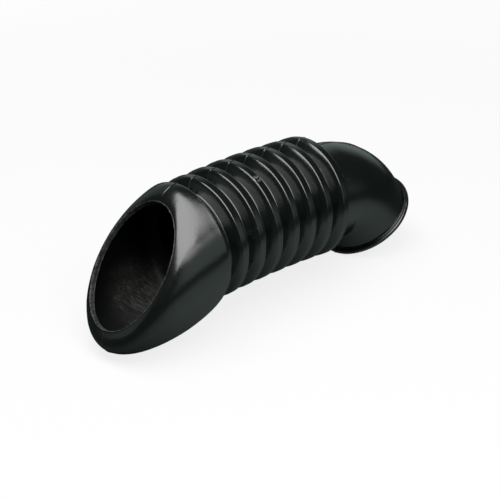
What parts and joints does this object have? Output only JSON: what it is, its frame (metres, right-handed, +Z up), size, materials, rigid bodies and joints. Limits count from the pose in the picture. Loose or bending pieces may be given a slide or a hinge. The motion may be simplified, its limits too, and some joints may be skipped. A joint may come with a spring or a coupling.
{
  "type": "carburettor bellows",
  "caption": "Moulded rubber intake bellows with a slanted oval mouth, a ribbed flexible middle and a bent neck, joining an air box to a carburettor.",
  "frame": {"origin": "on the surface it lies on, below the middle of its box", "axes": "+X along the ribs from the slanted mouth to the bent neck, +Z up from the surface it lies on"},
  "size_m": [0.194, 0.0618, 0.0696],
  "materials": {
    "black_rubber": "satin moulded black rubber with a mould seam"
  },
  "bodies": {
    "root": {"bellows": "black_rubber"}
  },
  "joints": []
}
